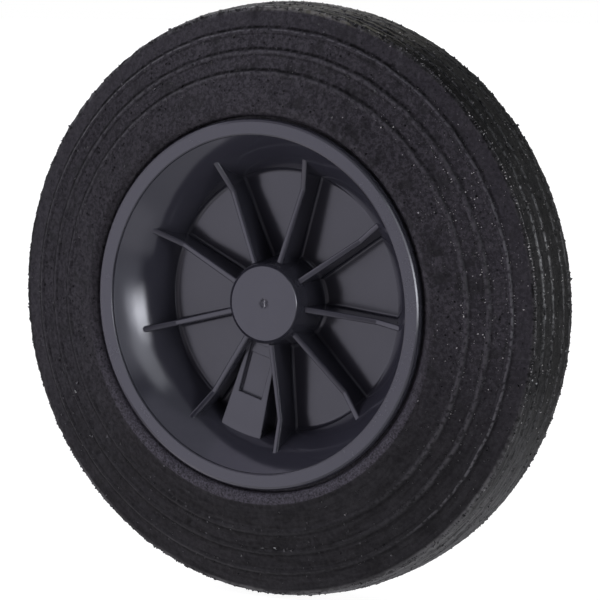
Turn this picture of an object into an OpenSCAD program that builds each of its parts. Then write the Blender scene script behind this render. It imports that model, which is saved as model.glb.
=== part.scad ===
// Solid rubber wheel with a moulded hub that snaps onto a bin axle.
// The wheel turns about Y, its outer face looks along -Y and the origin is the middle of the wheel.
// Each piece is drawn with its axis along Z and its outer face up, then laid over by in_row_frame().

/* [Tyre] */
// Diameter over the crown of the tread
tyre_d = 200; // [190:1:215]
// Width of the tyre over its two side crests
tyre_w = 46.5; // [43:0.5:54]
// Diameter at the two edges of the tread
shoulder_d = 197; // [194:0.5:198]
// Width of the tread between its edges
tread_w = 27.4; // [26.5:0.1:33]
// Distance of the side crest from the rim's flange
crest_out = 4.3; // [3:0.1:7]
// Place of the inner sidewall step, in percent of the way from the crest to the shoulder
step_1_at = 35.4; // [25:0.1:45]
// Place of the middle sidewall step, in the same percent
step_2_at = 56.6; // [50:0.1:65]
// Place of the outer sidewall step, in the same percent
step_3_at = 78.2; // [70:0.1:88]
// Depth of each sidewall step
step_h = 0.8; // [0.3:0.1:1.2]
// Distance of the inner tread grooves from the middle
groove_1_y = 3.9; // [2.5:0.1:5]
// Distance of the outer tread grooves from the middle
groove_2_y = 9.2; // [7:0.1:11]
// Depth of the tread grooves
groove_h = 0.6; // [0.3:0.1:1]
// Rounding of the side crests
crest_round = 1.2; // [0.6:0.1:1.6]
// Width of the crevice between the rim's edge and the rubber
crevice_w = 0.9; // [0.5:0.1:1.5]
// Gap between the rubber and the rim that carries it
seat_gap = 0.05; // [0.02:0.01:0.1]

/* [Rim] */
// Width of the rim over its two flanges
rim_w = 46.5; // [43:0.5:52]
// Diameter of the barrel under the tyre
barrel_d = 114.6; // [112:0.2:117]
// Wall of the barrel
barrel_wall = 2.8; // [2:0.1:3.4]
// How far the two flanges stand out from the barrel
flange_h = 4.4; // [3:0.1:5]
// Thickness of the two flanges
flange_t = 3; // [2:0.1:4]
// How far the flat ring round the dish reaches in from the barrel
ring_in = 1; // [0.4:0.1:2.5]
// How far the dish narrows on each side from the ring to its floor
dish_taper = 12.1; // [10:0.1:14]
// Depth of the dish from the ring to its floor
dish_h = 21; // [18:0.5:24]
// Wall of the dish
dish_wall = 2.4; // [1.8:0.1:3]
// Thickness of the dish's floor
floor_t = 2.6; // [2:0.1:4]
// Depth of the step inside the flat ring
ring_step = 0.6; // [0.3:0.1:1]

/* [Boss] */
// Diameter of the boss at its outer face
boss_d = 27.2; // [26:0.2:29]
// Diameter of the boss at the dish's floor
boss_foot_d = 29.8; // [29.4:0.2:32]
// Depth of the boss face behind the ring
boss_in = 5.9; // [4:0.1:7.5]
// How far the boss stands out behind the rim
boss_out = 5; // [2:0.5:10]
// Diameter of the axle bore
bore_d = 20.5; // [20:0.1:21.5]
// Diameter of the bore's inner end, past the lock
bore_tip_d = 20.1; // [19.6:0.1:20.6]
// Plastic between the bore's end and the boss face
boss_cap = 3.7; // [3:0.1:5]

/* [Ribs] */
// Number of ribs on each side
rib_n = 9; // [7:1:9]
// Thickness of the ribs
rib_t = 2; // [1.6:0.1:2.4]
// Rounding of the ribs' top edges
rib_round = 0.6; // [0.3:0.1:0.75]
// Rounding at the ribs' feet
rib_fillet = 1; // [0.5:0.1:1.4]
// Depth of the front ribs' tops at the boss
rib_boss_in = 8.7; // [8:0.1:11]
// Depth of the front ribs' tops at their bend
rib_bend_in = 12; // [11:0.1:14]
// Distance of the bend from the wheel's axis
rib_bend_r = 39.5; // [34:0.5:41]
// Depth of the front ribs' tops at the dish wall
rib_end_in = 8; // [6.5:0.1:9.5]
// Height of the rear ribs below the rim's rear face, at the barrel
rear_rib_in = 5; // [3:0.5:9]

/* [Lock] */
// Direction of the lock round the wheel, from X towards Z
lock_angle = 253.4; // [0:0.1:360]
// Depth of the lock housing's face behind the ring
housing_in = 12.8; // [12:0.1:14]
// Width of the lock housing beside the boss
housing_w1 = 10.6; // [10.2:0.1:12]
// Width of the lock housing at the dish wall
housing_w2 = 15.8; // [14:0.1:18]
// Thickness of the lock housing's front wall
housing_t = 2.2; // [1.9:0.1:2.6]
// Width of the shallow recess in the housing's face
recess_w = 9.2; // [7:0.1:9.6]
// Depth of that recess
recess_h = 1.4; // [0.5:0.1:1.6]
// Distance of the recess's outer end from the wheel's axis
recess_r = 33.5; // [28:0.5:38]
// Width of the bolt
bolt_w = 7.8; // [7:0.1:8]
// Height of the bolt along the axle
bolt_h = 7.9; // [7:0.1:8.5]
// Length of the bolt's body behind its shoulder
bolt_l = 16; // [14:0.5:18]
// Width of the bolt's nose
nose_w = 6; // [5:0.1:6.4]
// Height of the bolt's nose
nose_h = 5.4; // [4.6:0.1:5.8]
// How far the nose reaches into the bore
nose_in = 2.5; // [1.5:0.1:3]
// Gap round the sliding bolt
bolt_gap = 0.2; // [0.15:0.05:0.3]
// How far the channel's walls stand out behind the dish's floor
channel_out = 4; // [3:0.5:8]
// Thickness of the channel's walls
channel_wall = 1.7; // [1.4:0.1:2.2]

/* [Spring] */
// Outer diameter of the spring
spring_d = 5.2; // [4.6:0.1:5.4]
// Diameter of the spring wire
wire_d = 0.7; // [0.5:0.1:0.9]
// Turns of the spring
spring_turns = 9; // [7:1:11]
// Depth of the spring's pocket in the bolt
pocket_l = 9; // [7:0.5:10]
// Length of the spring when fitted
spring_l = 18.8; // [17:0.2:20]
// Gap round the spring and at its ends
spring_gap = 0.1; // [0.05:0.05:0.15]

/* [Hidden] */
$fn = 96;
arc_steps = 6;
curve_steps = 20;
fn_small = 48;

// Colours
plastic_colour = [0.20, 0.20, 0.24];
rubber_colour = [0.09, 0.09, 0.10];
bolt_colour = [0.13, 0.13, 0.15];
steel_colour = [0.62, 0.63, 0.65];

// Diameters of the flanges and of the dish, which follow the barrel
flange_d = barrel_d + 2 * flange_h;
dish_d = barrel_d - 2 * ring_in;
dish_floor_d = dish_d - 2 * dish_taper;
crest_d = flange_d + 2 * crest_out;

// Rim levels, measured up from the middle of the wheel
rim_top = rim_w / 2;
floor_top = rim_top - dish_h;
floor_back = floor_top - floor_t;
boss_top = rim_top - boss_in;
boss_back = -rim_top - boss_out;
flange_round = 0.5;
barrel_draft = 0.4;
dish_power = 1.64;
fillet = 1.6;
boss_round = 1;
mouth_chamfer = 0.8;

// Levels of the bolt, which lies just behind the housing's front wall
housing_top = rim_top - housing_in;
channel_top = housing_top - housing_t;
bolt_top = channel_top - bolt_gap;
bolt_mid = bolt_top - bolt_h / 2;
bolt_back = bolt_top - bolt_h;
nose_back = bolt_mid - nose_h / 2;
channel_back = floor_back - channel_out;
channel_w = bolt_w + 2 * bolt_gap;
window_back = nose_back - bolt_gap;
land_end = window_back - bolt_gap;

// Places along the lock's direction, measured from the wheel's axis
shoulder_gap = 0.3;
boss_mid_r = boss_foot_d / 2;
shoulder_r = boss_mid_r + shoulder_gap;
nose_r = bore_tip_d / 2 - nose_in;
bolt_end_r = shoulder_r + bolt_l;
spring_in_r = bolt_end_r - pocket_l + spring_gap;
spring_out_r = spring_in_r + spring_l;
channel_end_r = spring_out_r + spring_gap;
housing_in_r = boss_d / 2;
pocket_d = spring_d + 4 * spring_gap;
peg_d = spring_d - 2 * wire_d - 4 * spring_gap;
peg_l = 3;
catch_h = 0.45;
catch_l = 9;
catch_w = 1.5;
notch_l = 4;
notch_w = 5;
notch_h = 1.2;
ramp_l = nose_in + 1.5;

bore_end = boss_top - boss_cap;
cut = 1;
overlap = 0.4;
foot_sink = 0.02;

// Points of an arc round (x, y) from angle a to angle b
function arc(x, y, r, a, b, n = arc_steps) =
    [for (i = [0:n]) [x + r * cos(a + (b - a) * i / n), y + r * sin(a + (b - a) * i / n)]];

// Radius of the dish wall at a share t of its depth, steep at the floor and flared at the ring
function dish_r(t) = (dish_floor_d + (dish_d - dish_floor_d) * pow(1 - t, dish_power)) / 2;
function dish_z(t) = rim_top - ring_step - t * (dish_h - ring_step);
function dish_slope(t) = (dish_d - dish_floor_d) / 2 * dish_power * pow(1 - t, dish_power - 1)
    / (dish_h - ring_step);

// The dish wall's points, moved out of the dish by the distance off
function dish_points(off, t0, t1, n = curve_steps) =
    [for (i = [0:n]) let (t = t0 + (t1 - t0) * i / n, s = dish_slope(t), q = sqrt(1 + s * s))
        [dish_r(t) + off / q, dish_z(t) - off * s / q]];

// Share of the dish's depth at which the back of its wall leaves the barrel, and where its foot starts
back_t0 = 0.42;
foot_t = 1 - fillet / (dish_h - ring_step);

// Steps of a plain outline that only cuts, and how far it runs past its need along the dish wall
few_steps = 8;
past_t = 0.2;

module in_row_frame() rotate([90, 0, 0]) children();

module along_lock() rotate([0, 0, lock_angle]) children();

// Section of the rim, the dish, its floor and the boss, from the axis outwards
module hub_section() {
    barrel_in = barrel_d / 2 - barrel_wall;
    polygon(concat(
        [[0, boss_top]],
        arc(boss_d / 2 - boss_round, boss_top - boss_round, boss_round, 90, 0),
        arc(boss_foot_d / 2 + fillet, floor_top + fillet, fillet, 180, 270),
        arc(dish_r(foot_t) - fillet, floor_top + fillet, fillet, 270, 360),
        dish_points(0, foot_t, 0),
        [[dish_d / 2, rim_top]],
        arc(flange_d / 2 - flange_round, rim_top - flange_round, flange_round, 90, 0),
        [[flange_d / 2, rim_top - flange_t], [barrel_d / 2, rim_top - flange_t],
         [barrel_d / 2, flange_t - rim_top], [flange_d / 2, flange_t - rim_top]],
        arc(flange_d / 2 - flange_round, flange_round - rim_top, flange_round, 0, -90),
        [[barrel_in + barrel_draft + flange_round, -rim_top],
         [barrel_in + barrel_draft, flange_round - rim_top],
         [barrel_in, dish_z(back_t0) - dish_wall]],
        dish_points(dish_wall, back_t0, foot_t, few_steps),
        arc(dish_r(foot_t) + dish_wall - fillet, floor_back + fillet, fillet, 0, -90),
        arc(boss_foot_d / 2 + fillet, floor_back - fillet, fillet, 90, 180),
        [[boss_d / 2 + mouth_chamfer, boss_back + mouth_chamfer], [boss_d / 2, boss_back],
         [0, boss_back]]));
}

// Across a rib's top: rounded corners at height 0 over flat sides
module rib_across() {
    r = rib_round;
    polygon(concat([[-rib_t / 2, -2 * r], [rib_t / 2, -2 * r]],
        arc(rib_t / 2 - r, -r, r, 0, 90, 4), arc(r - rib_t / 2, -r, r, 90, 180, 4)));
}

// The rounded top of a rib from radius r1 and level z1 to radius r2 and level z2, past both ends
module rib_run(r1, z1, r2, z2) {
    slope = atan2(z2 - z1, r2 - r1);
    translate([r1, 0, z1])
        rotate([0, -slope, 0])
            translate([-cut, 0, 0])
                rotate([90, 0, 90])
                    linear_extrude(norm([r2 - r1, z2 - z1]) + 2 * cut)
                        rib_across();
}

// The side view of a rib cut to a flat plate, from points in radius and level
module rib_plate(w, points) rotate([90, 0, 0]) linear_extrude(w, center = true) polygon(points);

// One front rib from the boss to the dish wall, falling to its bend and climbing behind it
module front_rib() {
    start_r = boss_d / 2 - cut;
    start_z = rim_top - rib_boss_in;
    bend_z = rim_top - rib_bend_in;
    end_t = (rib_end_in - ring_step) / (dish_h - ring_step);
    end_r = dish_r(end_t) + dish_wall;
    end_z = rim_top - rib_end_in + dish_wall / 2;
    low_z = floor_top - floor_t / 2;
    intersection() {
        union() {
            rib_run(start_r, start_z, rib_bend_r, bend_z);
            rib_run(rib_bend_r, bend_z, end_r, end_z);
            rib_plate(rib_t, [[start_r, low_z], [start_r, start_z - rib_round],
                [rib_bend_r, bend_z - rib_round], [end_r, end_z - rib_round], [end_r, low_z]]);
        }
        rib_plate(2 * rib_t, concat([[start_r, low_z], [start_r, boss_top]],
            dish_points(dish_wall / 2, end_t - past_t, foot_t, few_steps), [[dish_floor_d / 2, low_z]]));
    }
    rib_foot(boss_foot_d / 2 + overlap, dish_r(foot_t) + overlap, floor_top, 1);
}

// The rounding at the foot of a rib, which stands up (side 1) or hangs down (side -1) from level z
module rib_foot(r1, r2, z, side) {
    f = rib_fillet;
    half = rib_t / 2 - overlap / 10;
    translate([r1, 0, z - side * foot_sink])
        rotate([90, 0, 90])
            linear_extrude(r2 - r1)
                scale([1, side])
                    polygon(concat([[-half - f, -overlap], [half + f, -overlap]],
                        arc(half + f, f, f, 270, 180, 5), arc(-half - f, f, f, 0, -90, 5)));
}

// One rear rib from the boss to the barrel
module rear_rib() {
    start_r = boss_d / 2 - cut;
    end_r = barrel_d / 2 - barrel_wall / 2;
    start_z = boss_back + boss_out;
    end_z = -rim_top + rear_rib_in;
    low_z = floor_top - floor_t / 2;
    intersection() {
        union() {
            mirror([0, 0, 1]) rib_run(start_r, -start_z, end_r, -end_z);
            rib_plate(rib_t, [[start_r, start_z + rib_round], [end_r, end_z + rib_round],
                [end_r, rim_top], [start_r, rim_top]]);
        }
        rib_plate(2 * rib_t, concat([[start_r, boss_back], [start_r, low_z], [dish_floor_d / 2, low_z]],
            dish_points(dish_wall / 2, foot_t, back_t0 - past_t, few_steps),
            [[end_r, dish_z(back_t0)], [end_r, boss_back]]));
    }
    rib_foot(boss_foot_d / 2 + overlap, dish_r(foot_t) + overlap, floor_back, -1);
}

// The ribs of one side stand at equal angles, half a pitch away from the lock
module ribs() for (i = [0:rib_n - 1]) rotate([0, 0, lock_angle + (i + 0.5) * 360 / rib_n]) children();

// Plan of the lock housing, wider at the dish wall than at the boss
module housing_plan() {
    reach = dish_floor_d / 2 + dish_wall / 2;
    polygon([[housing_in_r, -housing_w1 / 2], [reach, -housing_w2 / 2],
        [reach, housing_w2 / 2], [housing_in_r, housing_w1 / 2]]);
}

// The raised housing in the dish, and the walls of the bolt's channel behind the floor
module lock_housing() {
    top_t = (housing_in - ring_step) / (dish_h - ring_step);
    intersection() {
        translate([0, 0, floor_top - floor_t / 2])
            linear_extrude(housing_top - floor_top + floor_t / 2)
                union() {
                    housing_plan();
                    translate([dish_floor_d / 2, -housing_w2 / 2])
                        square([dish_r(top_t) + dish_wall / 2 - dish_floor_d / 2, housing_w2]);
                }
        rotate_extrude()
            polygon(concat([[0, floor_top - floor_t], [0, boss_top]],
                dish_points(dish_wall / 2, top_t - past_t, foot_t, few_steps),
                [[dish_floor_d / 2, floor_top - floor_t]]));
    }
    translate([housing_in_r, -channel_w / 2 - channel_wall, channel_back])
        cube([channel_end_r + channel_wall - housing_in_r, channel_w + 2 * channel_wall,
            housing_top - channel_back - housing_t / 2]);
}

// The room in which the bolt slides, open towards the rear
module channel_room() {
    difference() {
        translate([boss_foot_d / 2 - cut / 2, -channel_w / 2, boss_back])
            cube([channel_end_r - boss_foot_d / 2 + cut / 2, channel_w, channel_top - boss_back]);
        for (side = [-1, 1]) bolt_catch(side);
        spring_peg();
    }
}

// A snap edge on the channel's wall, which keeps the bolt from falling out at the rear
module bolt_catch(side) {
    translate([shoulder_r + (bolt_l - catch_l) / 2, side * channel_w / 2, bolt_back - bolt_gap])
        rotate([90, 0, 90])
            linear_extrude(catch_l)
                polygon([[side * overlap, 0], [-side * catch_h, 0], [-side * catch_h, -catch_h],
                    [0, -catch_w], [side * overlap, -catch_w]]);
}

// The peg on the channel's end wall that holds the spring
module spring_peg() {
    translate([channel_end_r + overlap, 0, bolt_mid])
        rotate([0, -90, 0])
            cylinder(h = peg_l + overlap, d = peg_d, $fn = fn_small);
}

// The window through the boss for the bolt's nose
module nose_window() {
    translate([0, -nose_w / 2 - bolt_gap, window_back])
        cube([boss_foot_d / 2 + cut, nose_w + 2 * bolt_gap, nose_h + 2 * bolt_gap]);
}

// The shallow recess in the housing's face
module face_recess() {
    lip_r = 19.2;
    lip_h = 0.4;
    translate([housing_in_r, -recess_w / 2, housing_top - recess_h + lip_h])
        cube([recess_r - housing_in_r, recess_w, recess_h]);
    translate([lip_r, -recess_w / 2, housing_top - recess_h])
        cube([recess_r - lip_r, recess_w, recess_h]);
}

// The axle bore: a plain land from the mouth to the lock, and a closer end beyond it
module bore() {
    translate([0, 0, boss_back - cut])
        cylinder(h = land_end - boss_back + cut, d = bore_d);
    translate([0, 0, boss_back])
        cylinder(h = bore_end - boss_back, d = bore_tip_d);
    translate([0, 0, boss_back - cut / 10])
        cylinder(h = mouth_chamfer + cut / 10, d1 = bore_d + 2 * mouth_chamfer + cut / 5, d2 = bore_d);
}

module hub() {
    gate_d = 2.4;
    gate_h = 0.3;
    color(plastic_colour)
        in_row_frame()
            difference() {
                union() {
                    rotate_extrude() hub_section();
                    ribs() front_rib();
                    ribs() rear_rib();
                    along_lock() lock_housing();
                }
                along_lock() channel_room();
                along_lock() nose_window();
                along_lock() difference() {
                    face_recess();
                    cylinder(h = boss_top, d = boss_foot_d + fillet);
                }
                bore();
                translate([0, 0, boss_top - gate_h])
                    cylinder(h = cut, d1 = gate_d, d2 = gate_d + 2 * cut, $fn = fn_small);
            }
}

// Level of the conical side between the crest and the shoulder, without its steps
side_fall = (tyre_w - tread_w) / (shoulder_d - crest_d);
function side_z(r) = tyre_w / 2 - side_fall * (r - crest_d / 2);

// Two points of a sidewall step: its outer edge and the crease at its foot
function step_points(at) = let (r = (crest_d + (shoulder_d - crest_d) * at / 100) / 2)
    [[r - step_h, side_z(r) + step_h / 2], [r, side_z(r) - step_h / 2]];

// Radius of the crowned tread at the distance y from the middle
function tread_r(y) = tyre_d / 2 - (tyre_d - shoulder_d) / 2 * pow(y / (tread_w / 2), 2);

// Directions of the side and of the tread where they meet at the shoulder
side_dir = 90 - atan(side_fall);
tread_dir = atan(2 * (tyre_d - shoulder_d) / tread_w);

// Three points of a tread groove, from its outer edge to its inner edge
function groove_points(y) = [[tread_r(y + groove_h), y + groove_h], [tread_r(y) - groove_h, y],
    [tread_r(y - groove_h), y - groove_h]];

// Upper half of the tyre's section, from the seat on the rim round to the middle of the tread
function half_tyre() = let (seat_r = barrel_d / 2 + seat_gap, seat_z = rim_top - flange_t - seat_gap,
    lip_r = flange_d / 2 + crevice_w, lip_h = 0.5, edge = 0.9)
    concat([[seat_r, 0], [seat_r, seat_z], [lip_r, seat_z], [lip_r, seat_z + lip_h]],
        arc(crest_d / 2, tyre_w / 2 - crest_round, crest_round, 150, 90, 4),
        step_points(step_1_at), step_points(step_2_at), step_points(step_3_at),
        arc(shoulder_d / 2 - edge, tread_w / 2 - edge, edge, side_dir, tread_dir, 4),
        groove_points(groove_2_y), groove_points(groove_1_y), [[tread_r(0), 0]]);

module tyre() {
    half = half_tyre();
    n = len(half);
    color(rubber_colour)
        in_row_frame()
            rotate_extrude()
                polygon(concat([for (p = half) p], [for (i = [n - 2:-1:1]) [half[i][0], -half[i][1]]]));
}

module lock_bolt() {
    color(bolt_colour)
        in_row_frame()
            along_lock()
                difference() {
                    union() {
                        translate([shoulder_r, -bolt_w / 2, bolt_back])
                            cube([bolt_l, bolt_w, bolt_h]);
                        translate([nose_r, -nose_w / 2, nose_back])
                            cube([shoulder_r - nose_r + cut, nose_w, nose_h]);
                    }
                    // The ramp that lets the axle push the bolt aside
                    translate([nose_r, 0, nose_back])
                        rotate([90, 0, 0])
                            linear_extrude(nose_w + cut, center = true)
                                polygon([[-cut, -cut], [ramp_l, -cut], [ramp_l, 0],
                                    [0, nose_h - cut], [-cut, nose_h - cut]]);
                    // The pocket for the spring
                    translate([bolt_end_r - pocket_l, 0, bolt_mid])
                        rotate([0, 90, 0])
                            cylinder(h = pocket_l + cut, d = pocket_d, $fn = fn_small);
                    // The notch by which the bolt is drawn back
                    translate([shoulder_r + notch_l / 2, -notch_w / 2, bolt_back - cut])
                        cube([notch_l, notch_w, notch_h + cut]);
                }
}

// Centre line of the spring at a share t of its length, with closed end turns
function coil_lift(t) = let (dead = 1 / spring_turns, u = (t - dead) / (1 - 2 * dead))
    wire_d / 2 + (t < dead ? wire_d * t / dead
        : t > 1 - dead ? spring_l - 2 * wire_d + wire_d * (t - 1 + dead) / dead
        : wire_d + (spring_l - 3 * wire_d) * u);

module bolt_spring() {
    ring_n = 20;
    side_n = 8;
    rings = spring_turns * ring_n;
    coil_r = (spring_d - wire_d) / 2;
    points = [for (i = [0:rings]) let (t = i / rings, a = 360 * spring_turns * t)
        for (k = [0:side_n - 1]) let (b = 360 * k / side_n, q = coil_r + wire_d / 2 * cos(b))
            [q * cos(a), q * sin(a), coil_lift(t) + wire_d / 2 * sin(b)]];
    sides = [for (i = [0:rings - 1], k = [0:side_n - 1]) let (a = i * side_n, b = (k + 1) % side_n)
        [a + k, a + b, a + side_n + b, a + side_n + k]];
    caps = [[for (k = [side_n - 1:-1:0]) k], [for (k = [0:side_n - 1]) rings * side_n + k]];
    color(steel_colour)
        in_row_frame()
            along_lock()
                translate([spring_in_r, 0, bolt_mid])
                    rotate([0, 90, 0])
                        polyhedron(points, concat(sides, caps), convexity = 10);
}

hub();
tyre();
lock_bolt();
bolt_spring();
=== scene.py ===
import math
import bpy
import numpy as np
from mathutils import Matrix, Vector
from mathutils.kdtree import KDTree


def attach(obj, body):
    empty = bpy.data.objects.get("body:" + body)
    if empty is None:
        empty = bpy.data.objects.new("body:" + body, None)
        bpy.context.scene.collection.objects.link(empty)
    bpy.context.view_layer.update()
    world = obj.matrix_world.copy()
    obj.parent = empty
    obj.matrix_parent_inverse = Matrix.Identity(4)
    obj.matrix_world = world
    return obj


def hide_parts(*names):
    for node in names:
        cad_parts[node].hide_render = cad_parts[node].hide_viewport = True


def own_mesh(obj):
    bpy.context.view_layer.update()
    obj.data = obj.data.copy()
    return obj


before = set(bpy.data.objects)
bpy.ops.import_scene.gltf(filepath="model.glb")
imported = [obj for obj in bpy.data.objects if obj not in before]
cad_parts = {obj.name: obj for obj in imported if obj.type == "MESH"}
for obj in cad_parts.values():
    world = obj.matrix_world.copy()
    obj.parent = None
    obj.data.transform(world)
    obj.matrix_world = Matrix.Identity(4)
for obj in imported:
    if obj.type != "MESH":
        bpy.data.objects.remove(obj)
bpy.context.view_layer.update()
scene = bpy.context.scene
mm = 0.001
print("frame loaded:", sorted(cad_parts))


# makes one mesh object from arrays of points and faces, all faces of one size
def makePiece(name, points, faces, material, smooth=True):
    mesh = bpy.data.meshes.new(name)
    mesh.from_pydata(np.asarray(points).tolist(), [], np.asarray(faces).tolist())
    mesh.polygons.foreach_set("use_smooth", [smooth] * len(mesh.polygons))
    mesh.materials.append(material)
    mesh.update()
    piece = bpy.data.objects.new(name, mesh)
    scene.collection.objects.link(piece)
    return piece


# repeatable pseudo-random values from 0 to 1 at whole-number grid points
def gridValue(x, y, z, seed):
    n = x * 73856093 ^ y * 19349663 ^ z * 83492791 ^ seed * 2654435761
    n = ((n ^ (n >> 13)) * 1274126177) & 0x7fffffff
    return ((n ^ (n >> 16)) & 0xffff) / 65535.0


# smooth noise from -1 to 1 whose lumps are about size apart
def smoothNoise(points, size, seed):
    q = points / size
    base = np.floor(q).astype(np.int64)
    f = q - base
    f = f * f * (3 - 2 * f)
    total = np.zeros(len(points))
    for i in (0, 1):
        for j in (0, 1):
            for k in (0, 1):
                share = ((f[:, 0] if i else 1 - f[:, 0]) * (f[:, 1] if j else 1 - f[:, 1])
                         * (f[:, 2] if k else 1 - f[:, 2]))
                corner = gridValue(base[:, 0] + i, base[:, 1] + j, base[:, 2] + k, seed)
                total += share * corner
    return 2 * total - 1


# links each value that is a socket to the node's input, and sets the others on it
def feedInputs(tree, node, inputs):
    for key, value in inputs.items():
        if isinstance(value, bpy.types.NodeSocket):
            tree.links.new(value, node.inputs[key])
        else:
            node.inputs[key].default_value = value


# adds a node, its inputs given by name or number, its other settings by keyword
def addNode(tree, kind, inputs=None, **settings):
    node = tree.nodes.new(kind)
    for key, value in settings.items():
        setattr(node, key, value)
    feedInputs(tree, node, inputs or {})
    return node


# joins two or more values by one operation
def mathNode(tree, operation, *values, clamp=False):
    total = values[0]
    for value in values[1:] or (0.0,):
        total = addNode(tree, "ShaderNodeMath", {0: total, 1: value},
                        operation=operation, use_clamp=clamp).outputs[0]
    return total


def times(tree, *values, clamp=False):
    return mathNode(tree, "MULTIPLY", *values, clamp=clamp)


def plus(tree, *values):
    return mathNode(tree, "ADD", *values)


def minus(tree, *values):
    return mathNode(tree, "SUBTRACT", *values)


def larger(tree, *values):
    return mathNode(tree, "MAXIMUM", *values)


# moves a value from one range to another, with soft ends
def rangeNode(tree, value, low, high, toLow=0.0, toHigh=1.0, kind="SMOOTHSTEP"):
    return addNode(tree, "ShaderNodeMapRange",
                   {"Value": value, "From Min": low, "From Max": high,
                    "To Min": toLow, "To Max": toHigh}, interpolation_type=kind).outputs[0]


# 1 up to the value full, 0 from the value none
def fadeNode(tree, value, full, none):
    return rangeNode(tree, value, full, none, 1.0, 0.0)


def mixColor(tree, share, a, b, blend="MIX"):
    return addNode(tree, "ShaderNodeMix", {0: share, 6: a, 7: b},
                   data_type="RGBA", blend_type=blend).outputs[2]


def noiseNode(tree, point, scale, detail=2.0, roughness=0.5, distortion=0.0):
    return addNode(tree, "ShaderNodeTexNoise",
                   {"Vector": point, "Scale": scale, "Detail": detail, "Roughness": roughness,
                    "Distortion": distortion}).outputs[0]


def bumpNode(tree, height, distance, normal=None):
    inputs = {"Height": height, "Distance": distance}
    if normal is not None:
        inputs["Normal"] = normal
    return addNode(tree, "ShaderNodeBump", inputs).outputs[0]


def splitNode(tree, point):
    return addNode(tree, "ShaderNodeSeparateXYZ", {0: point}).outputs


def startGroup(name, inputs, outputs):
    group = bpy.data.node_groups.new(name, "ShaderNodeTree")
    for label, kind, value in inputs:
        socket = group.interface.new_socket(label, in_out="INPUT", socket_type="NodeSocket" + kind)
        if value is not None:
            socket.default_value = value
    for label, kind in outputs:
        group.interface.new_socket(label, in_out="OUTPUT", socket_type="NodeSocket" + kind)
    given = group.nodes.new("NodeGroupInput").outputs
    return group, given, group.nodes.new("NodeGroupOutput").inputs


# joins finished values to a group's or a shader's named sockets
def putOut(tree, sockets, values):
    for name, value in values.items():
        tree.links.new(value, sockets[name])


# places a finished group in a material
def useGroup(tree, group, inputs=None):
    node = tree.nodes.new("ShaderNodeGroup")
    node.node_tree = group
    feedInputs(tree, node, inputs or {})
    return node.outputs


# distance from the axle's line, and place along it
def buildAxlePlace():
    group, _, out = startGroup("axlePlace", [], [("Radius", "Float"), ("Depth", "Float"),
                                                 ("Point", "Vector")])
    point = addNode(group, "ShaderNodeTexCoord").outputs["Object"]
    place = splitNode(group, point)
    square = plus(group, times(group, place["X"], place["X"]), times(group, place["Z"], place["Z"]))
    putOut(group, out, {"Radius": mathNode(group, "SQRT", square), "Depth": place["Y"],
                        "Point": point})
    return group


# fine even grain of moulded surfaces: a height for bump and the same as a mask
def buildGrain():
    group, given, out = startGroup(
        "mouldGrain",
        [("Point", "Vector", None), ("Grain Size", "Float", 0.3 * mm), ("Sharpness", "Float", 0.5)],
        [("Height", "Float"), ("Mask", "Float")])
    scale = mathNode(group, "DIVIDE", 1.0, given["Grain Size"])
    height = noiseNode(group, given["Point"], scale, 3.0, given["Sharpness"])
    putOut(group, out, {"Height": height, "Mask": rangeNode(group, height, 0.42, 0.62)})
    return group


# thin dust and handling marks: a colour with the dust in it, and where it lies
def buildDust():
    group, given, out = startGroup(
        "dustFilm",
        [("Point", "Vector", None), ("Color", "Color", (0.02, 0.02, 0.02, 1)),
         ("Dust Color", "Color", (0.3, 0.29, 0.28, 1)), ("Amount", "Float", 0.05),
         ("Patch Size", "Float", 12 * mm)],
        [("Color", "Color"), ("Mask", "Float")])
    point, patch = given["Point"], given["Patch Size"]
    wide = noiseNode(group, point, mathNode(group, "DIVIDE", 1.0, patch), 4.0, 0.6)
    fine = noiseNode(group, point, mathNode(group, "DIVIDE", 24.0, patch))
    mask = times(group, rangeNode(group, wide, 0.38, 0.72), rangeNode(group, fine, 0.35, 0.7))
    amount = times(group, mask, given["Amount"], clamp=True)
    putOut(group, out, {"Color": mixColor(group, amount, given["Color"], given["Dust Color"]),
                        "Mask": mask})
    return group


# the colour with its convex edges a little paler: rubbed wear, and a painted edge highlight
def buildEdgeWearAndHighlight():
    group, given, out = startGroup(
        "edgeWearAndHighlight",
        [("Color", "Color", (0.02, 0.02, 0.02, 1)), ("Worn And Glint Color", "Color", (0.08, 0.08, 0.09, 1)),
         ("Amount", "Float", 0.5)],
        [("Color", "Color")])
    bent = addNode(group, "ShaderNodeNewGeometry").outputs["Pointiness"]
    amount = times(group, rangeNode(group, bent, 0.53, 0.62), given["Amount"], clamp=True)
    putOut(group, out, {"Color": mixColor(group, amount, given["Color"], given["Worn And Glint Color"])})
    return group


axlePlace = buildAxlePlace()
mouldGrain = buildGrain()
dustFilm = buildDust()
edgeWearAndHighlight = buildEdgeWearAndHighlight()
print("shared effects built")


def startMaterial(name, **values):
    material = bpy.data.materials.new(name)
    material.use_nodes = True
    tree = material.node_tree
    tree.nodes.clear()
    shader = tree.nodes.new("ShaderNodeBsdfPrincipled")
    for key, value in values.items():
        shader.inputs[key.replace("_", " ")].default_value = value
    output = tree.nodes.new("ShaderNodeOutputMaterial")
    tree.links.new(shader.outputs[0], output.inputs[0])
    return material, tree, shader.inputs


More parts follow.
